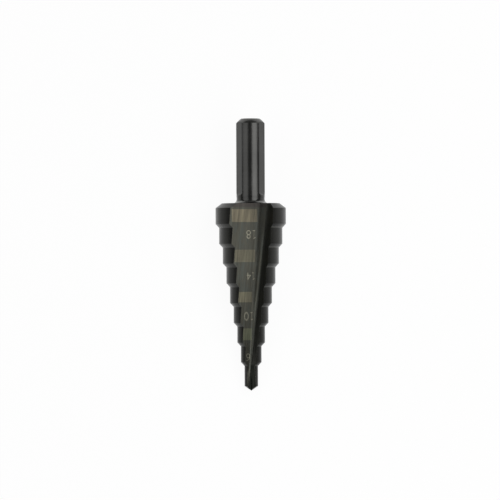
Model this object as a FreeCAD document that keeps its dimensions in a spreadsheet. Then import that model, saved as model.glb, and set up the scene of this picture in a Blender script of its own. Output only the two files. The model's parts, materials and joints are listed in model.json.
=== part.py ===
import FreeCAD, Part
import math
import os
import re

import Sketcher
from FreeCAD import Placement, Rotation, Vector

# A step drill for sheet metal, turned and ground from one bar of steel: nine steps
# from 4 to 20 mm, two straight tapering flutes, and a round shank with three flats.
# It is drawn standing on its point, axis along Z and point at the origin, with one
# flute facing -Y. At the end it is laid on its side, as it comes to rest on a table.

document = FreeCAD.newDocument("StepDrill")
sheet = document.addObject("Spreadsheet::Sheet", "Sizes")

# Driving dimensions, millimetres and degrees
sizes = [
    ("stepCount", 9, "steps, with the pilot as the first"),
    ("pilotDiameter", 4, "diameter of the smallest step"),
    ("stepRise", 1, "radius gained at each step"),
    ("pilotLength", 5.62, "length of the pilot's land"),
    ("stepPitch", 5.55, "from one step's lower corner to the next"),
    ("shoulderLength", 1.1, "height of the cone between two steps"),
    ("lastLandLength", 4.4, "length of the largest step's land"),
    ("backChamfer", 1.4, "height of the chamfer behind the largest step"),
    ("backChamferWidth", 1.85, "how far that chamfer runs in from the land"),
    ("pointAngle", 110, "included angle of the drill point"),
    ("landRelief", 0.12, "how far each land falls away behind its cutting edge"),
    ("reliefTurn", 31, "turn of the relief about the axis"),
    ("grindingRoom", 3, "space that a grinding cut takes outside the steel"),
    ("fluteCount", 2, "flutes around the head"),
    ("fluteOverrun", 1.5, "how far a flute's cut runs on behind the head"),
    ("headRootSide", 4.46, "flute's root at the head, right of the axis"),
    ("headRootDepth", 4.02, "flute's root at the head, in front of the axis"),
    ("headRootRound", 3.5, "radius in the flute's root at the head"),
    ("headHeelTilt", 23.6, "slope of the wide heel wall at the head"),
    ("headHeelWall", 36, "length cut for the heel wall at the head"),
    ("headRakeTilt", 61.9, "slope of the rake wall at the head"),
    ("headRakeWall", 15.2, "length cut for the rake wall at the head"),
    ("pointRootSide", 0.88, "flute's root at the point, left of the axis"),
    ("pointRootDepth", 0.28, "flute's root at the point, in front of the axis"),
    ("pointRootRound", 0.15, "radius in the flute's root at the point"),
    ("pointHeelTilt", 86.4, "slope of the heel wall at the point"),
    ("pointHeelWall", 2.67, "length cut for the heel wall at the point"),
    ("pointRakeTilt", 21.1, "slope of the rake wall at the point"),
    ("pointRakeWall", 5.4, "length cut for the rake wall at the point"),
    ("gashRootSide", 0.1, "split point's gash: its root, right of the axis"),
    ("gashRootDepth", 0.14, "that root at the point, in front of the axis"),
    ("gashHeelTilt", 25.5, "slope of the gash's left side at the point"),
    ("gashHeelWall", 1, "length cut for that side at the point"),
    ("gashRakeTilt", 72, "slope of the gash's right side at the point"),
    ("gashRakeWall", 3, "length cut for that side at the point"),
    ("gashLength", 4.6, "height at which the gash has left the steel"),
    ("gashEndRootDepth", 1.05, "gash's root at that height, in front of the axis"),
    ("gashEndHeelTilt", 32, "slope of the gash's left side at that height"),
    ("gashEndHeelWall", 1.05, "length cut for that side at that height"),
    ("gashEndRakeTilt", 62, "slope of the gash's right side at that height"),
    ("gashEndRakeWall", 3.2, "length cut for that side at that height"),
    ("shankDiameter", 8, "diameter that the chuck holds"),
    ("shankLength", 23.8, "from the head's back to the shank's end"),
    ("shankChamfer", 1.3, "slightly domed chamfer on the shank's end"),
    ("shankRootRound", 1.2, "radius where the shank meets the head"),
    ("neckLength", 0.5, "ground relief above that radius"),
    ("neckDepth", 0.05, "depth of the ground relief"),
    ("flatCount", 3, "flats around the shank"),
    ("flatDepth", 0.35, "depth of a flat at its middle"),
    ("flatGap", 1.9, "from the head's back to where a flat starts"),
    ("flatRunout", 1.2, "radius that the wheel leaves at the flat's start"),
]
for row, (name, value, note) in enumerate(sizes, start=1):
    sheet.set(f"A{row}", name)
    sheet.set(f"B{row}", str(value))
    sheet.set(f"C{row}", note)
    sheet.setAlias(f"B{row}", name)
document.recompute()


# Formulas are written with the sheet's names alone, as in "stepPitch / 2"
def fromSheet(formula):
    return re.sub(r"\b([a-z]+[A-Z]\w*)", r"Sizes.\1", formula)


def valueOf(formula):
    return float(sheet.evalExpression(fromSheet(formula)))


# Heights along the axis and radii of the steps, from the point up
lastStep = int(valueOf("stepCount")) - 1
apexDrop = "landRelief / tan(pointAngle / 2)"
pointHeight = f"pilotDiameter / 2 / tan(pointAngle / 2) - {apexDrop}"


def stepRadius(step):
    return f"pilotDiameter / 2 + {step} * stepRise"


def stepCorner(step):
    if step == 0:
        return pointHeight
    return f"{pointHeight} + pilotLength + shoulderLength + {step - 1} * stepPitch"


def stepFoot(step):
    if step == 0:
        return f"{pointHeight} + pilotLength"
    if step == lastStep:
        return f"{stepCorner(step)} + lastLandLength"
    return f"{stepCorner(step)} + stepPitch - shoulderLength"


headBack = f"{stepFoot(lastStep)} + backChamfer"
shankEnd = f"{headBack} + shankLength"


# Sketches
def addSketch(body, name, planeRole):
    sketch = body.newObject("Sketcher::SketchObject", name)
    plane = next(item for item in body.Origin.OriginFeatures if item.Role == planeRole)
    sketch.AttachmentSupport = [(plane, "")]
    sketch.MapMode = "FlatFace"
    return sketch


# Ties one point of a sketch to a formula in each direction; "0" puts it on that axis
def tiePoint(sketch, geometry, end, across, along):
    for kind, formula, axis in (("DistanceX", across, -2), ("DistanceY", along, -1)):
        if formula == "0":
            sketch.addConstraint(Sketcher.Constraint("PointOnObject", geometry, end, axis))
            continue
        held = Sketcher.Constraint(kind, -1, 1, geometry, end, valueOf(formula))
        index = sketch.addConstraint(held)
        sketch.setExpression(f"Constraints[{index}]", fromSheet(formula))


# The arc between two points whose centre is on the upright axis
def domeBetween(first, last):
    rise = (last.x**2 + last.y**2 - first.x**2 - first.y**2) / (last.y - first.y) / 2
    centre = Vector(0, rise, 0)
    angles = [math.atan2(end.y - rise, end.x) for end in (first, last)]
    return Part.ArcOfCircle(Part.Circle(centre, Vector(0, 0, 1), (first - centre).Length), *angles)


# A closed outline; a corner is (across, along) or (across, along, radius), and the
# edge after the corner numbered domeAfter is an arc about the upright axis
def drawOutline(sketch, corners, domeAfter=None):
    count = len(corners)
    places = [Vector(valueOf(corner[0]), valueOf(corner[1]), 0) for corner in corners]
    arrivals = list(places)
    departures = list(places)
    arcs = {}
    for index, corner in enumerate(corners):
        if len(corner) == 2:
            continue
        here = places[index]
        back = (places[index - 1] - here).normalize()
        ahead = (places[(index + 1) % count] - here).normalize()
        half = back.getAngle(ahead) / 2
        radius = valueOf(corner[2])
        arrivals[index] = here + back * (radius / math.tan(half))
        departures[index] = here + ahead * (radius / math.tan(half))
        centre = here + (back + ahead).normalize() * (radius / math.sin(half))
        turnsLeft = ahead.cross(back).z > 0
        first, last = arrivals[index], departures[index]
        if not turnsLeft:
            first, last = last, first
        angles = [math.atan2(end.y - centre.y, end.x - centre.x) for end in (first, last)]
        circle = Part.Circle(centre, Vector(0, 0, 1), radius)
        arcs[index] = (Part.ArcOfCircle(circle, *angles), turnsLeft)
    for index in range(count):
        ends = departures[index], arrivals[(index + 1) % count]
        if index == domeAfter:
            sketch.addGeometry(domeBetween(*ends), False)
            sketch.addConstraint(Sketcher.Constraint("PointOnObject", index, 3, -2))
        else:
            sketch.addGeometry(Part.LineSegment(*ends), False)
    for index, corner in enumerate(corners):
        before = (index - 1) % count
        if index not in arcs:
            sketch.addConstraint(Sketcher.Constraint("Coincident", before, 2, index, 1))
            tiePoint(sketch, index, 1, corner[0], corner[1])
            continue
        arc, turnsLeft = arcs[index]
        shape = sketch.addGeometry(arc, False)
        start, finish = (1, 2) if turnsLeft else (2, 1)
        sketch.addConstraint(Sketcher.Constraint("Tangent", before, 2, shape, start))
        sketch.addConstraint(Sketcher.Constraint("Tangent", index, 1, shape, finish))
        held = sketch.addConstraint(Sketcher.Constraint("Radius", shape, valueOf(corner[2])))
        sketch.setExpression(f"Constraints[{held}]", fromSheet(corner[2]))
        meeting = sketch.addGeometry(Part.Point(places[index]), True)
        sketch.addConstraint(Sketcher.Constraint("PointOnObject", meeting, 1, before))
        sketch.addConstraint(Sketcher.Constraint("PointOnObject", meeting, 1, index))
        tiePoint(sketch, meeting, 1, corner[0], corner[1])


# Repeats a cut around the drill's axis and makes the result the body's tip
def patternAround(body, name, feature, countFormula):
    axis = next(item for item in body.Origin.OriginFeatures if item.Role == "Z_Axis")
    pattern = body.newObject("PartDesign::PolarPattern", name)
    pattern.Originals = [feature]
    pattern.Axis = (axis, [""])
    pattern.Angle = 360
    pattern.setExpression("Occurrences", fromSheet(countFormula))
    body.Tip = pattern
    document.recompute()
    return pattern


# The blank: all the steps, the head's back and the shank, in one turned profile
def turnBlank(body):
    corners = [("0", "0"), (stepRadius(0), "0")]
    for step in range(lastStep + 1):
        if step > 0:
            corners.append((stepRadius(step), stepCorner(step)))
        corners.append((stepRadius(step), stepFoot(step)))
    shankRadius = "shankDiameter / 2"
    neckStart = f"{headBack} + shankRootRound"
    neckEnd = f"{neckStart} + neckLength"
    corners += [
        (f"{stepRadius(lastStep)} - backChamferWidth", headBack),
        (f"{shankRadius} - neckDepth", headBack, "shankRootRound"),
        (f"{shankRadius} - neckDepth", neckEnd),
        (shankRadius, f"{neckEnd} + neckDepth"),
        (shankRadius, f"{shankEnd} - shankChamfer"),
        (f"{shankRadius} - shankChamfer", shankEnd),
        ("0", shankEnd),
    ]
    sketch = addSketch(body, "BlankProfile", "XZ_Plane")
    drawOutline(sketch, corners, domeAfter=len(corners) - 3)
    blank = body.newObject("PartDesign::Revolution", "Blank")
    blank.Profile = sketch
    blank.ReferenceAxis = (sketch, ["V_Axis"])
    blank.Angle = 360
    body.Tip = blank
    document.recompute()


# One section of a flute or gash: the heel wall on the left, the rake wall on the right
def fluteSection(body, name, place, side, height, rounding=()):
    depth = f"{place}RootDepth"
    heel, rake = f"{place}HeelWall", f"{place}RakeWall"
    heelTilt, rakeTilt = f"{place}HeelTilt", f"{place}RakeTilt"
    sketch = addSketch(body, name, "XY_Plane")
    drawOutline(sketch, [
        (side, f"-{depth}", *rounding),
        (f"{side} - {heel} * cos({heelTilt})", f"-{depth} - {heel} * sin({heelTilt})"),
        (f"{side} + {rake} * cos({rakeTilt})", f"-{depth} - {rake} * sin({rakeTilt})"),
    ])
    if height != "0":
        sketch.setExpression("AttachmentOffset.Base.z", fromSheet(height))
    return sketch


# The flutes: each tapers from the head's back down to the web of the pilot
def grindFlutes(body):
    behindHead = f"{headBack} + fluteOverrun"
    atHead = fluteSection(body, "FluteAtHead", "head", "headRootSide", behindHead,
                          rounding=("headRootRound",))
    atPoint = fluteSection(body, "FluteAtPoint", "point", "-pointRootSide", "0",
                           rounding=("pointRootRound",))
    flute = body.newObject("PartDesign::SubtractiveLoft", "Flute")
    flute.Profile = atHead
    flute.Sections = [atPoint]
    flute.Ruled = True
    patternAround(body, "Flutes", flute, "fluteCount")


# The split point: a small gash in each flute thins the web, so that the drill starts
# on a short chisel edge
def grindGashes(body):
    atPoint = fluteSection(body, "GashAtPoint", "gash", "gashRootSide", "0")
    atEnd = fluteSection(body, "GashAtEnd", "gashEnd", "gashRootSide", "gashLength")
    gash = body.newObject("PartDesign::SubtractiveLoft", "Gash")
    gash.Profile = atEnd
    gash.Sections = [atPoint]
    gash.Ruled = True
    patternAround(body, "Gashes", gash, "fluteCount")


# Relief: a cut about an axis beside the drill's own leaves each land a little lower
# at its heel than at its cutting edge, and the two cones of the point cross in a
# short chisel edge
def grindRelief(body):
    def beside(radius):
        return f"{radius} - landRelief"
    outer = beside(f"{stepRadius(lastStep)} + grindingRoom")
    above = f"{headBack} + fluteOverrun"
    corners = [(beside("0"), f"-({apexDrop})")]
    for step in range(lastStep + 1):
        corners.append((beside(stepRadius(step)), stepCorner(step)))
        if step < lastStep:
            corners.append((beside(stepRadius(step)), stepFoot(step)))
    corners += [
        (beside(stepRadius(lastStep)), above),
        (outer, above),
        (outer, "-grindingRoom"),
        (beside("0"), "-grindingRoom"),
    ]
    sketch = addSketch(body, "ReliefProfile", "XZ_Plane")
    sketch.AttachmentOffset = Placement(Vector(0, 0, 0), Rotation(Vector(0, 1, 0), 0))
    sketch.setExpression("AttachmentOffset.Rotation.Angle", fromSheet("reliefTurn"))
    drawOutline(sketch, corners)
    closing = len(corners) - 1
    axis = Part.LineSegment(Vector(valueOf("-landRelief"), 0, 0),
                            Vector(valueOf("-landRelief"), valueOf("stepPitch"), 0))
    axisLine = sketch.addGeometry(axis, True)
    sketch.addConstraint(Sketcher.Constraint("Vertical", axisLine))
    sketch.addConstraint(Sketcher.Constraint("PointOnObject", axisLine, 1, closing))
    relief = body.newObject("PartDesign::Groove", "Relief")
    relief.Profile = sketch
    relief.ReferenceAxis = (sketch, ["Axis0"])
    relief.Angle = 360
    patternAround(body, "LandRelief", relief, "fluteCount")


# The flats that stop the shank turning in a three-jaw chuck
def grindFlats(body):
    inner = "shankDiameter / 2 - flatDepth"
    outer = "shankDiameter / 2 + grindingRoom"
    start = f"{headBack} + flatGap"
    sketch = addSketch(body, "FlatProfile", "YZ_Plane")
    drawOutline(sketch, [
        (inner, start, "flatRunout"),
        (outer, start),
        (outer, f"{shankEnd} + grindingRoom"),
        (inner, f"{shankEnd} + grindingRoom"),
    ])
    flat = body.newObject("PartDesign::Pocket", "Flat")
    flat.Profile = sketch
    flat.Midplane = True
    flat.setExpression("Length", fromSheet("shankDiameter + 2 * grindingRoom"))
    patternAround(body, "Flats", flat, "flatCount")


# How the drill rests: on the two corners of the widest step that flank the flute
# underneath, and on the first corner that the pilot or a step then brings down
def restingPlacement(shape):
    corners = [vertex.Point for vertex in shape.Vertexes]
    height, radius = valueOf(stepCorner(lastStep)), valueOf(stepRadius(lastStep))
    reach = valueOf("landRelief + stepRise / 10")
    widest = [place for place in corners if abs(place.z - height) < reach and place.y > 0
              and abs(math.hypot(place.x, place.y) - radius) < reach]
    left = max((place for place in widest if place.x < 0), key=lambda place: place.y)
    right = max((place for place in widest if place.x > 0), key=lambda place: place.y)
    level = Rotation(Vector(0, 0, 1), -math.degrees(math.atan2(right.y - left.y, right.x - left.x)))
    seat = level.multVec(left)
    turned = [level.multVec(place) for place in corners]
    lower = [place for place in turned if place.z < seat.z - valueOf("stepPitch")]
    lean = min(math.atan2(seat.y - place.y, seat.z - place.z) for place in lower)
    tilt = Rotation(Vector(1, 0, 0), math.degrees(lean) - 90)
    return Placement(Vector(0, 0, 0), tilt * level)


drill = document.addObject("PartDesign::Body", "StepDrill")
drill.Label = "step_drill"
volumes = []
for shapeIt in (turnBlank, grindFlutes, grindGashes, grindRelief, grindFlats):
    shapeIt(drill)
    volumes.append(drill.Shape.Volume)
    print(f"{shapeIt.__name__}: {drill.Shape.Volume:.1f} cubic mm")
if any(after >= before for before, after in zip(volumes, volumes[1:])):
    raise RuntimeError("a cut took nothing from the steel")
middle = drill.Shape.Solids[0].CenterOfMass
if math.hypot(middle.x, middle.y) > valueOf("landRelief") / 20:
    raise RuntimeError("the cuts aren't the same all round the drill")

# Laid down, with the middle of its lowest face of the box at the origin
drill.Placement = restingPlacement(drill.Shape)
document.recompute()
box = drill.Shape.optimalBoundingBox(False)
toOrigin = Vector(-(box.XMin + box.XMax) / 2, -(box.YMin + box.YMax) / 2, -box.ZMin)
drill.Placement = Placement(toOrigin, Rotation()) * drill.Placement
document.recompute()

# Nothing is written unless every feature was built
for item in document.Objects:
    if "Invalid" in item.State or "Error" in item.State:
        raise RuntimeError(f"{item.Label} was not built: {item.State}")
os.makedirs("parts", exist_ok=True)
for body in (drill,):
    if body.Shape.isNull() or not body.Shape.isValid():
        raise RuntimeError(f"{body.Label} has no valid shape")
    body.Shape.exportStep(f"parts/{body.Label}.step")
    print(f"{body.Label}: {len(body.Shape.Solids)} solid, {body.Shape.Volume:.1f} cubic mm")
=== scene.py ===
import json
import math

import bpy
from mathutils import Matrix, Vector

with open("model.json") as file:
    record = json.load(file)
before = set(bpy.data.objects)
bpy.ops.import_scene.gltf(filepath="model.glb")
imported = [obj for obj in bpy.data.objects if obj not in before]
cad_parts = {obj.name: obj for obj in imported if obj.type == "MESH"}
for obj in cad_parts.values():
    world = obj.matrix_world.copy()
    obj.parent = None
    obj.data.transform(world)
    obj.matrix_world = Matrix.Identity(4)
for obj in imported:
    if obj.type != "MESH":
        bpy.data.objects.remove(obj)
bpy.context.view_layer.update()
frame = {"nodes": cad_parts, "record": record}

scene = bpy.context.scene
scene.view_settings.view_transform = "Standard"

mmPerMetre = 1000
white = (1, 1, 1, 1)

# The drill's own directions, taken from its mounts: along runs from the point to the
# shank's end, front faces out of the flute that looks up, and side is to its right.
mounts = {mount["name"]: mount for mount in frame["record"]["mounts"]}
shankEnd = Vector(mounts["shank_end"]["pos_m"])
along = Vector(mounts["shank_end"]["axis"]).normalized()
front = -Vector(mounts["shank_flat_under"]["axis"])
front = (front - along * front.dot(along)).normalized()
side = along.cross(front).normalized()
drill = frame["nodes"]["step_drill"]
drillLength = max((shankEnd - vertex.co).dot(along) for vertex in drill.data.vertices)
tip = shankEnd - along * drillLength
print("frame read: the drill is", round(drillLength * mmPerMetre, 2), "mm long")


# One output of a node, which can be added, multiplied and so on
class Wire:
    def __init__(self, shader, node, output=0):
        self.shader = shader
        self.node = node
        self.socket = node.outputs[output]

    def output(self, name):
        return Wire(self.shader, self.node, name)

    def maths(self, operation, *others):
        sockets = dict(enumerate((self, *others)))
        return self.shader.add("ShaderNodeMath", {"operation": operation}, sockets)

    def __add__(self, other):
        return self.maths("ADD", other)

    def __radd__(self, other):
        return self.maths("ADD", other)

    def __sub__(self, other):
        return self.maths("SUBTRACT", other)

    def __rsub__(self, other):
        return self.shader.add("ShaderNodeMath", {"operation": "SUBTRACT"}, {0: other, 1: self})

    def __mul__(self, other):
        return self.maths("MULTIPLY", other)

    def __rmul__(self, other):
        return self.maths("MULTIPLY", other)

    def __truediv__(self, other):
        return self.maths("DIVIDE", other)

    def __rtruediv__(self, other):
        return self.shader.add("ShaderNodeMath", {"operation": "DIVIDE"}, {0: other, 1: self})

    def __abs__(self):
        return self.maths("ABSOLUTE")

    def atLeast(self, other):
        return self.maths("MAXIMUM", other)

    def atMost(self, other):
        return self.maths("MINIMUM", other)

    # from 0 at low to 1 at high, with soft ends; low may be the larger
    def smooth(self, low, high):
        sockets = {"Value": self, "From Min": low, "From Max": high}
        return self.shader.add("ShaderNodeMapRange", {"interpolation_type": "SMOOTHSTEP"}, sockets)

    # 1 between low and high, and 0 past them
    def between(self, low, high, soft=0.06):
        return self.smooth(low - soft, low + soft) * self.smooth(high + soft, high - soft)


# A node tree; add() makes every node, sets it up and then fills its sockets
class Shader:
    def __init__(self, owner):
        owner.use_nodes = True
        self.tree = owner.node_tree
        self.tree.nodes.clear()

    def add(self, kind, settings=None, sockets=None):
        node = self.tree.nodes.new(kind)
        for name, value in (settings or {}).items():
            setattr(node, name, value)
        for name, value in (sockets or {}).items():
            if isinstance(value, Wire):
                self.tree.links.new(value.socket, node.inputs[name])
            else:
                node.inputs[name].default_value = value
        return Wire(self, node) if node.outputs else node

    def mix(self, factor, first, second):
        sockets = {"Factor": factor, 6: first, 7: second}
        return self.add("ShaderNodeMix", {"data_type": "RGBA"}, sockets).output(2)

    # how far a vector reaches along a direction
    def reach(self, vector, direction):
        sockets = {0: vector, 1: direction}
        return self.add("ShaderNodeVectorMath", {"operation": "DOT_PRODUCT"}, sockets).output("Value")

    # 1 for what is seen, also in gloss and through glass, and 0 for the light it gives
    def seen(self):
        path = self.add("ShaderNodeLightPath")
        return (path.output("Is Camera Ray") + path.output("Is Glossy Ray")
                + path.output("Is Transmission Ray"))


# Camera: square to the drill's axis, on the front flute's side, as in the photograph
cameraView = {
    "lensMm": 180,
    "sensorMm": 36,
    "pixelsPerMm": 3.554,
    "imagePixels": 500,
    "endRow": 118.8,       # row of the shank's end
    "axisColumn": 250.83,  # column of the axis at mid-height
    "leanDegrees": -0.22,  # the drill leans this much in the frame
}


# Stands an object so that it looks along -out, with up and right as given
def placeObject(holder, right, up, out, place):
    rows = [(right[i], up[i], out[i], place[i]) for i in range(3)]
    holder.matrix_world = Matrix((*rows, (0, 0, 0, 1)))
    scene.collection.objects.link(holder)


def placeCamera(values):
    width = values["imagePixels"] / values["pixelsPerMm"] / mmPerMetre
    distance = width * values["lensMm"] / values["sensorMm"]
    middle = values["imagePixels"] / 2
    down = (middle - values["endRow"]) / values["pixelsPerMm"] / mmPerMetre
    left = (values["axisColumn"] - middle) / values["pixelsPerMm"] / mmPerMetre
    aim = shankEnd - along * down - side * left
    camera = bpy.data.cameras.new("camera")
    camera.lens = values["lensMm"]
    camera.sensor_width = values["sensorMm"]
    turn = Matrix.Rotation(math.radians(values["leanDegrees"]), 3, front)
    holder = bpy.data.objects.new("camera", camera)
    placeObject(holder, turn @ side, turn @ along, front, aim + front * distance)
    scene.camera = holder
    print("camera placed", round(distance, 3), "m away")
    return aim


aim = placeCamera(cameraView)

# Two long soft boxes, right and left of the camera, with a dark gap between them
softBoxes = {
    "right": {"angle": 34, "width": 0.34, "length": 0.9, "away": 0.45, "watts": 2.4},
    "left": {"angle": -42, "width": 0.34, "length": 0.9, "away": 0.45, "watts": 1.1},
}


def hangSoftBoxes(boxes):
    for name, values in boxes.items():
        light = bpy.data.lights.new("softBox." + name, "AREA")
        light.shape = "RECTANGLE"
        light.size = values["width"]
        light.size_y = values["length"]
        light.energy = values["watts"]
        angle = math.radians(values["angle"])
        out = front * math.cos(angle) + side * math.sin(angle)
        holder = bpy.data.objects.new("softBox." + name, light)
        holder.visible_camera = False
        placeObject(holder, along.cross(out).normalized(), along, out, aim + out * values["away"])
    print("soft boxes hung:", len(boxes))


hangSoftBoxes(softBoxes)

# The room: dim around the soft boxes, with a white ground below the horizon where it is seen
roomLight = {"level": 0.15, "seenLevel": 1.0, "groundTop": 0.0, "groundFade": 0.08}


def lightRoom(values):
    world = bpy.data.worlds.new("room")
    scene.world = world
    shader = Shader(world)
    seen = shader.seen()
    upward = shader.reach(shader.add("ShaderNodeTexCoord").output("Generated"), Vector((0, 0, 1)))
    ground = upward.smooth(values["groundTop"] + values["groundFade"], values["groundTop"])
    strength = seen * ground * (values["seenLevel"] - values["level"]) + values["level"]
    background = shader.add("ShaderNodeBackground", None, {"Color": white, "Strength": strength})
    shader.add("ShaderNodeOutputWorld", None, {"Surface": background})
    print("room lit")


lightRoom(roomLight)

# The floor: pale and matt, with part of its white given to rays that see it directly
floorFinish = {"size": 3.0, "colour": (0.85, 0.85, 0.85, 1), "seenWhite": 0.94}


def layFloor(values):
    half = values["size"] / 2
    mesh = bpy.data.meshes.new("floor")
    corners = [(-half, -half, 0), (half, -half, 0), (half, half, 0), (-half, half, 0)]
    mesh.from_pydata(corners, [], [(0, 1, 2, 3)])
    floor = bpy.data.objects.new("floor", mesh)
    scene.collection.objects.link(floor)
    material = bpy.data.materials.new("paleFloor")
    shader = Shader(material)
    matt = shader.add("ShaderNodeBsdfDiffuse", None, {"Color": values["colour"]})
    bright = shader.add("ShaderNodeEmission", None, {"Color": white, "Strength": 1.0})
    sockets = {0: shader.seen() * values["seenWhite"], 1: matt, 2: bright}
    mixed = shader.add("ShaderNodeMixShader", None, sockets)
    shader.add("ShaderNodeOutputMaterial", None, {"Surface": mixed})
    mesh.materials.append(material)
    print("floor laid")


layFloor(floorFinish)

# The drill's own sizes that the finish follows, in mm: heights are up from the point
drillPlan = {
    "firstCorner": 8.036,     # where the second step starts
    "pitch": 5.55,
    "shoulder": 1.1,
    "pilotRadius": 2.0,
    "rise": 1.0,
    "steps": 9,
    "headBack": 52.686,
    "neckStart": 52.786,
    "neckTop": 53.35,
    "chamfer": 75.1,          # where the shank's chamfer starts
    "gashHeight": 6.8,
    "rootHeight": 54.186,     # where the flute's upper section lies
    "rootAtHead": 4.46,       # the flute's root there, to the right of the axis
    "rootAtPoint": -0.88,     # and at the point
    "depthAtHead": 4.02,      # and in front of the axis
    "depthAtPoint": 0.28,
    "roundAtHead": 2.96,      # how far the root's round reaches up the wide face there
    "roundAtPoint": 0.15,
    "edgeLeft": 0.03,         # the wide face's edge lies this far left of the root,
    "edgeMoves": 0.2,         # and this much further right
    "edgeHeights": (23, 32),  # once it is past these heights
}

# Where each kind of surface begins and is full. Outward is how squarely it faces away from the
# axis, slope how much it faces along the drill, and the others are in mm.
surfaceEdges = {
    "head": (0.05, -0.05),          # past the head's back
    "wallOutward": (0.9, 0.8),      # the flutes' walls
    "wallDepth": (0.3, 0.4),
    "fluteSlope": (0.5, 0.4),
    "upFlute": (0, 0.1),            # in front of the axis
    "wide": (0.1, -0.1),            # right of the wide face's edge
    "shoulderSlope": (0.4, 0.5),
    "gash": (1, 0),                 # above the gash's end
    "gashSide": (0, 0.25),          # right of the wide face's edge
    "flatOutward": (0.955, 0.925),  # the borders of the shank's flats
    "flatSlope": (0.2, 0.1),
    "chamferSlopes": (0.4, 0.9),    # between these
    "chamfer": (0, 0.2),            # above its start
    "neckRadius": (6, 5),
    "neckSoft": 0.1,
}

# The finish: blackened steel, greyer where the flutes were ground
oxideFinish = {
    "landColour": (0.0185, 0.0187, 0.0168, 1),
    # painted light: the shoulders take a lighter copy of the lands' colour
    "litShoulderColour": (0.0275, 0.0278, 0.025, 1),
    "groundColour": (0.053, 0.052, 0.041, 1),   # the wide face of each flute
    "tintColour": (0.05, 0.056, 0.05, 1),       # a cooler tint that wanders over that face
    "backColour": (0.041, 0.037, 0.033, 1),     # a browner one at the head's back
    "backHeights": (51.1, 51.9),
    "rakeColour": (0.0295, 0.0302, 0.026, 1),   # the narrow face behind the cutting edge
    # painted shade: a dark colour in the split point's recess
    "gashShadeColour": (0.0108, 0.0125, 0.0098, 1),  # in the split point
    "shankColour": (0.055, 0.055, 0.053, 1),
    "wornColour": (0.12, 0.118, 0.11, 1),       # along the cutting edges
    "landRoughness": 0.3,
    "groundRoughness": 0.42,
    "shankRoughness": 0.24,
    "markRoughness": 0.15,      # added by the marks, the blotches and the lines
    "blotchRoughness": 0.12,
    "lineRoughness": 0.1,
    "landMetal": 0.7,
    "groundMetal": 0.6,
    "specular": 0.25,
    "grindingLines": 1.1,       # how much the lines of grinding lighten and darken
    "brokenLines": 0.9,         # and the short, broken ones among them
    "lowLines": 0.5,            # how much more they do so near the point
    "lowHeights": (24, 12),
    "turningLines": 0.32,
    "blotches": 0.5,
    "lineDepth": 0.0000025,     # metres
    "turningDepth": 0.4,        # of the ground lines' depth
}

# Noise in the finish: waves in a mm across and along the drill. The grinding follows the root.
grains = {
    "ground": {"across": 1.7, "lengthwise": 0.045, "detail": 4.0, "followsRoot": True},
    "broken": {"across": 3.4, "lengthwise": 0.16, "detail": 2.0, "followsRoot": True},
    "turned": {"across": 0.12, "lengthwise": 5.0, "detail": 3.0, "followsRoot": False},
    "blotches": {"across": 0.22, "lengthwise": 0.16, "detail": 2.0, "followsRoot": False},
    "patches": {"across": 0.9, "lengthwise": 0.3, "detail": 3.0, "followsRoot": False},
    "specks": {"across": 3.0, "lengthwise": 2.6, "detail": 2.0, "followsRoot": False},
}
grainFineness = 0.6

# How uneven marks and worn places are: a level and so much of each grain. Where it has a span,
# the sum counts from the span's first value and is full, at its strength, from the second.
wear = {
    "bars": {"level": 0.84, "grains": {"ground": 1.0, "patches": 0.8, "broken": 0.5}},
    "numbers": {"level": 0.9, "grains": {"patches": 1.2, "specks": 1.6}},
    "tint": {"level": 0.35, "grains": {"patches": 3, "ground": 2}, "span": (0, 1), "strength": 0.7},
    "corners": {"level": -0.1, "grains": {"specks": 2, "turned": 1}, "span": (0, 0.3), "strength": 0.5,
                "band": (0.985, 1.015, 0.02)},  # in pitches: from, to and softness
    "lips": {"level": 0.6, "grains": {"blotches": 1, "turned": 1}, "span": (0.35, 0.75), "strength": 0.6,
             "depths": (0.2, 0.05)},            # in mm: from and full
}

# Painted shade and highlight on the wide face, with heights in mm: painted darkening to the right and
# low down, a painted shade band beside the root, in reaches of the root's round from the root, and a
# painted highlight line in mm from the face's edge; to the left is below 0.
faceShades = {
    "level": 1.04,
    # painted darkening: to the right across the face, and low down
    "paintedDarkenings": [
        {"over": "across", "span": (-1, 1.6), "amount": 0.2},
        {"over": "z", "span": (36, 24), "amount": 0.15},
        {"over": "z", "span": (16, 10), "amount": 0.03},
    ],
    "upperHeights": (38, 47),
    "middleHeights": (24, 32),
    "pilotHeights": (7, 4),
    # the painted shade band, and the painted highlight line, stronger at the point and from 19 to 27 mm
    # up
    "band": {"left": -0.75, "right": -0.2, "soft": 0.22, "upperWider": 0.3,
             "upper": 0.7, "middle": 0.4, "strength": 0.34},
    "line": {"left": -0.45, "right": -0.05, "soft": 0.12, "pilotLeft": 0.5, "pilotRight": 0.2,
             "pilot": 5.5, "part": (19, 27, 2), "partMore": 2.5, "strength": 0.35},
}

# Painted light and shade on the shoulders, in pitches above a step's corner. Their painted light part
# stays clear of the corner above, and on the cutting edge's side it is lighter still, with a painted
# dark top.
shoulderShades = {
    "lightBelow": (0.955, 0.9),
    "less": 0.12,
    "cuttingSide": (-0.4, 0.4),     # mm right of the axis
    "cuttingMore": 0.55,
    "cuttingTop": (0.83, 0.91),
    "cuttingLess": 1.15,
    "pointward": (-0.4, -0.5),      # how much they face along the drill
}

# Painted light and shade on some small places: how much lighter the shank's chamfer and the neck's cove
# are, and how much darker the flats' borders, where it is below 0
partShades = {"flatEdge": -0.6, "chamfer": 0.8, "neck": 2}

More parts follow.
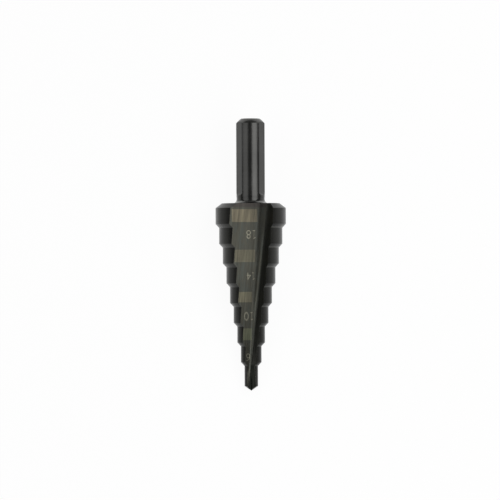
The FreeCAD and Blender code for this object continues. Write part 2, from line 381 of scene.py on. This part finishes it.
# Size marks on the flute that looks up, in mm: across from the axis, up from the point
sizeMarks = {
    "bars": [
        {"left": -5.26, "right": 1.80, "low": 47.4, "high": 50.95, "strength": 1.0, "green": 0.0},
        {"left": -4.54, "right": 1.17, "low": 36.2, "high": 39.65, "strength": 0.66, "green": 0.25},
        {"left": -3.66, "right": 0.28, "low": 24.95, "high": 27.85, "strength": 0.8, "green": 0.3},
        {"left": -2.35, "right": 0.15, "low": 14.3, "high": 17.6, "strength": 0.8, "green": 1.0},
    ],
    "numbers": [
        {"text": "18", "across": 0.15, "height": 43.90, "tall": 2.6, "strength": 0.66},
        {"text": "14", "across": 0.0, "height": 32.25, "tall": 2.2, "strength": 0.6},
        {"text": "10", "across": -0.60, "height": 21.0, "tall": 2.45, "strength": 0.42},
        {"text": "6", "across": -0.87, "height": 9.48, "tall": 2.25, "strength": 0.5},
    ],
    "digitPitch": 0.58,                         # of a number's height
    "strokeWidth": 0.085,                       # of a number's height
    "strokeFade": (0.75, 0.3),                  # of the stroke's width: where it starts and is full
    "barColour": (0.152, 0.132, 0.088, 1),
    "greenColour": (0.098, 0.106, 0.062, 1),
    "greenPatches": 0.8,                        # how much the green comes and goes
    "numberColour": (0.33, 0.315, 0.24, 1),
}

# The digits, in shares of their height from their middle, with up towards the point: strokes
# from one place to another, one of them thinner, and oval loops with half their width and height
digitShapes = {
    "0": {"strokes": [], "loops": [((0, 0), 0.21, 0.42)]},
    "1": {"strokes": [((0, -0.42), (0, 0.42), 0.03), ((-0.08, -0.42), (0.1, -0.42)),
                      ((0.02, 0.42), (-0.12, 0.33))], "loops": []},
    "4": {"strokes": [((0.1, -0.42), (0.1, 0.42)), ((0.1, 0.42), (-0.24, -0.12)),
                      ((-0.24, -0.12), (0.22, -0.12))], "loops": []},
    "6": {"strokes": [((-0.19, -0.15), (-0.14, 0.25)), ((-0.14, 0.25), (0.16, 0.42))],
          "loops": [((0, -0.17), 0.19, 0.25)]},
    "8": {"strokes": [], "loops": [((0, 0.21), 0.16, 0.2), ((0, -0.2), 0.19, 0.22)]},
}


# Where a place on the drill is, in mm, and which way its surface faces
def readSurface(shader):
    place = shader.add("ShaderNodeTexCoord").output("Object")
    normal = shader.add("ShaderNodeNewGeometry").output("Normal")
    place = shader.add("ShaderNodeVectorMath", {"operation": "SUBTRACT"}, {0: place, 1: tip})
    at = {}
    for name, direction in {"x": side, "y": front, "z": along}.items():
        at[name] = shader.reach(place, direction * mmPerMetre)
        at["n" + name] = shader.reach(normal, direction)
    at["radius"] = distanceTo(at["x"], at["y"])
    at["outward"] = (at["nx"] * at["x"] + at["ny"] * at["y"]) / at["radius"].atLeast(0.01)
    at["across"] = at["x"] * at["y"].maths("SIGN")  # to the right, seen from either flute's side
    return at


def distanceTo(u, v):
    return (u * u + v * v).maths("SQRT")


# How far a place is above its step's lower corner, in pitches, and its depth in the drill
def readSteps(at, plan):
    steps = (at["z"] - (plan["firstCorner"] - plan["pitch"])) / plan["pitch"]
    last = plan["steps"] - 1
    whole = steps.maths("FLOOR").atLeast(0).atMost(last)
    share = steps - whole
    rising = 1 - plan["shoulder"] / plan["pitch"]
    climb = share.smooth(rising, 1) * whole.maths("LESS_THAN", last - 0.5)
    return share, plan["pilotRadius"] + (whole + climb) * plan["rise"] - at["radius"]


# How far right a place is, of the wide face's edge in mm and of the root in reaches of its
# round, and where it is to a wheel that grinds along the root
def readRoot(at, plan):
    slant = (plan["rootAtHead"] - plan["rootAtPoint"]) / plan["rootHeight"]
    fromRoot = at["across"] - (at["z"] * slant + plan["rootAtPoint"])
    reach = at["z"] * (plan["roundAtHead"] / plan["rootHeight"]) + plan["roundAtPoint"]
    fromEdge = fromRoot + plan["edgeLeft"] - at["z"].smooth(*plan["edgeHeights"]) * plan["edgeMoves"]
    drop = (plan["depthAtHead"] - plan["depthAtPoint"]) / plan["rootHeight"]
    lay = {"x": fromRoot, "y": abs(at["y"]) - at["z"] * drop, "z": at["z"]}
    return fromEdge, fromRoot / reach, lay


# Which kind of surface a place is on, each from 0 to 1
def sortSurfaces(at, depth, fromEdge, plan, edges):
    slope = abs(at["nz"])
    head = (at["z"] - plan["headBack"]).smooth(*edges["head"])
    walled = at["outward"].smooth(*edges["wallOutward"]).atLeast(depth.smooth(*edges["wallDepth"]))
    flute = walled * slope.smooth(*edges["fluteSlope"]) * head
    wide = flute * fromEdge.smooth(*edges["wide"])
    gash = (at["z"] - plan["gashHeight"]).smooth(*edges["gash"]) * fromEdge.smooth(*edges["gashSide"])
    chamfer = (at["z"] - plan["chamfer"]).smooth(*edges["chamfer"])
    neck = at["z"].between(plan["neckStart"], plan["neckTop"], edges["neckSoft"])
    flatEdge = at["outward"].smooth(*edges["flatOutward"]) * slope.smooth(*edges["flatSlope"])
    return {
        "head": head,
        "flute": flute,
        "wide": wide,
        "upFlute": wide * at["y"].smooth(*edges["upFlute"]),
        "gash": flute * gash,
        "shoulder": slope.smooth(*edges["shoulderSlope"]) * head,
        "flatEdge": flatEdge * (1 - head),
        "chamfer": slope.between(*edges["chamferSlopes"]) * chamfer,
        "neck": neck * at["radius"].smooth(*edges["neckRadius"]),
    }


# Noise drawn out along the drill, or round it
def drawGrain(shader, at, values):
    sockets = {"X": at["x"] * values["across"], "Y": at["y"] * values["across"],
               "Z": at["z"] * values["lengthwise"]}
    stretched = shader.add("ShaderNodeCombineXYZ", None, sockets)
    sockets = {"Vector": stretched, "Scale": 1.0, "Detail": values["detail"], "Roughness": grainFineness}
    return shader.add("ShaderNodeTexNoise", None, sockets) - 0.5


# How strong a mark or worn place is, as its dictionary says
def readWear(grain, values):
    total = values["level"]
    for name, amount in values["grains"].items():
        total = grain[name] * amount + total
    if "span" in values:
        total = total.smooth(*values["span"]) * values["strength"]
    return total


# Distance from a straight stroke between two points
def drawStroke(u, v, start, finish, thinner=0):
    du, dv = finish[0] - start[0], finish[1] - start[1]
    share = ((u - start[0]) * du + (v - start[1]) * dv) / (du * du + dv * dv)
    share = share.atLeast(0).atMost(1)
    return distanceTo(u - start[0] - share * du, v - start[1] - share * dv) + thinner


# Distance from an oval loop
def drawLoop(u, v, middle, wide, high):
    ring = distanceTo((u - middle[0]) / wide, (v - middle[1]) / high)
    return abs(ring - 1) * min(wide, high)


# Distance from the nearest of a digit's lines
def drawDigit(shape, u, v):
    lines = [drawStroke(u, v, *stroke) for stroke in shape["strokes"]]
    lines += [drawLoop(u, v, *loop) for loop in shape["loops"]]
    nearest = lines[0]
    for line in lines[1:]:
        nearest = nearest.atMost(line)
    return nearest


def drawNumbers(at, values):
    numbers = 0
    fade = [values["strokeWidth"] * share for share in values["strokeFade"]]
    for number in values["numbers"]:
        for index, digit in enumerate(number["text"]):
            shift = (index - (len(number["text"]) - 1) / 2) * values["digitPitch"]
            u = (number["across"] - at["x"]) / number["tall"] - shift
            v = (number["height"] - at["z"]) / number["tall"]
            stroke = drawDigit(digitShapes[digit], u, v).smooth(*fade)
            numbers = (stroke * number["strength"]).atLeast(numbers)
    return numbers


def drawBars(at, values):
    bars, green = 0, 0
    for bar in values["bars"]:
        mask = at["x"].between(bar["left"], bar["right"]) * at["z"].between(bar["low"], bar["high"])
        bars = mask * bar["strength"] + bars
        green = mask * bar["green"] + green
    return bars, green


# Painted shade and light on the wide face: darker to the right and low down, a painted shade band up the
# face beside the root, and a painted highlight line at its edge
def shadeFace(at, on, fromEdge, reaches, values):
    band, line = values["band"], values["line"]
    upper = at["z"].smooth(*values["upperHeights"])
    middle = at["z"].smooth(*values["middleHeights"])
    pilot = at["z"].smooth(*values["pilotHeights"])
    paintedShadeBand = reaches.between(band["left"], band["right"] + upper * band["upperWider"], band["soft"])
    paintedShadeBand = paintedShadeBand * (upper * band["upper"] + middle * band["middle"]) * on["wide"]
    left, right = line["left"] - pilot * line["pilotLeft"], line["right"] - pilot * line["pilotRight"]
    light = fromEdge.between(left, right, line["soft"]) * on["wide"]
    part = at["z"].between(*line["part"])
    light = light * (1 - upper + pilot * line["pilot"] + part * line["partMore"])
    paintedDarkening = 0
    for fade in values["paintedDarkenings"]:
        paintedDarkening = at[fade["over"]].smooth(*fade["span"]) * fade["amount"] + paintedDarkening
    shade = values["level"] - on["wide"] * paintedDarkening
    return shade * (1 - paintedShadeBand * band["strength"]) * (1 + light * line["strength"])


# Painted light and shade on the shoulders: lighter low down and darker at the top on the cutting edge's
# side, a little dimmer elsewhere
def shadeShoulders(at, on, share, values):
    top = share.smooth(*values["cuttingTop"])
    cutting = at["across"].smooth(*values["cuttingSide"])
    cutting = cutting * (values["cuttingMore"] - top * values["cuttingLess"])
    return 1 + on["shoulder"] * at["nz"].smooth(*values["pointward"]) * (cutting - values["less"])


def makeOxide(values, marks, plan):
    material = bpy.data.materials.new("blackOxide")
    shader = Shader(material)
    at = readSurface(shader)
    share, depth = readSteps(at, plan)
    fromEdge, reaches, lay = readRoot(at, plan)
    on = sortSurfaces(at, depth, fromEdge, plan, surfaceEdges)
    grain = {}
    for name, waves in grains.items():
        grain[name] = drawGrain(shader, lay if waves["followsRoot"] else at, waves)
    turned = grain["turned"] * (1 - on["flute"])

    bars, green = drawBars(at, marks)
    bars = bars * on["upFlute"] * readWear(grain, wear["bars"])
    numbers = drawNumbers(at, marks) * on["upFlute"] * readWear(grain, wear["numbers"])
    corners = share.between(*wear["corners"]["band"]) * (1 - on["flute"]) * on["head"]
    lips = depth.smooth(*wear["lips"]["depths"]) * on["flute"]
    worn = (corners * readWear(grain, wear["corners"])).atLeast(lips * readWear(grain, wear["lips"]))

    # lighter and darker: grinding lines, turning lines and blotches, with painted shade and light on the
    # wide face, the shoulders and some small places
    lines = grain["ground"] * values["grindingLines"] + grain["broken"] * values["brokenLines"]
    lines = lines * on["flute"] * (1 + at["z"].smooth(*values["lowHeights"]) * values["lowLines"])
    lines = lines + turned * values["turningLines"]
    shade = 1 + lines + grain["blotches"] * values["blotches"]
    shade = shade * shadeFace(at, on, fromEdge, reaches, faceShades)
    shade = shade * shadeShoulders(at, on, share, shoulderShades)
    # painted light on the chamfer and the neck's cove, and painted shade on the flats' borders
    for name, amount in partShades.items():
        shade = shade * (1 + on[name] * amount)

    colour = shader.mix(on["head"], values["shankColour"], values["landColour"])
    layers = {
        # painted light on the shoulders
        "litShoulderColour": on["shoulder"] * share.smooth(*shoulderShades["lightBelow"]),
        "rakeColour": on["flute"],
        # painted shade in the gash
        "gashShadeColour": on["gash"],
        "groundColour": on["wide"],
        "tintColour": on["wide"] * readWear(grain, wear["tint"]),
        "backColour": on["wide"] * at["z"].smooth(*values["backHeights"]),
    }
    for name, cover in layers.items():
        colour = shader.mix(cover, colour, values[name])
    green = (green + grain["patches"] * marks["greenPatches"]).atLeast(0)
    colour = shader.mix(bars, colour, shader.mix(green, marks["barColour"], marks["greenColour"]))
    colour = shader.mix(numbers, colour, marks["numberColour"])
    colour = shader.mix(worn, colour, values["wornColour"])
    colour = shader.add("ShaderNodeVectorMath", {"operation": "SCALE"}, {0: colour, "Scale": shade})

    inked = bars + numbers
    roughness = values["shankRoughness"]
    roughness = on["head"] * (values["landRoughness"] - values["shankRoughness"]) + roughness
    roughness = roughness + on["wide"] * (values["groundRoughness"] - values["landRoughness"])
    roughness = roughness + inked * values["markRoughness"] + lines * values["lineRoughness"]
    roughness = roughness + grain["blotches"] * values["blotchRoughness"]
    metal = 1 - on["head"] * (1 - values["landMetal"])
    metal = metal - on["wide"] * (values["landMetal"] - values["groundMetal"])
    metal = metal * (1 - inked.atMost(1))
    height = grain["ground"] * on["flute"] + turned * values["turningDepth"]
    sockets = {"Strength": 1.0, "Distance": values["lineDepth"], "Height": height}
    bump = shader.add("ShaderNodeBump", None, sockets)

    steel = shader.add("ShaderNodeBsdfPrincipled", None, {
        "Base Color": colour, "Roughness": roughness, "Metallic": metal,
        "Specular IOR Level": values["specular"], "Normal": bump})
    shader.add("ShaderNodeOutputMaterial", None, {"Surface": steel})
    print("finish made:", len(shader.tree.nodes), "nodes")
    return material


drill.data.materials.clear()
drill.data.materials.append(makeOxide(oxideFinish, sizeMarks, drillPlan))
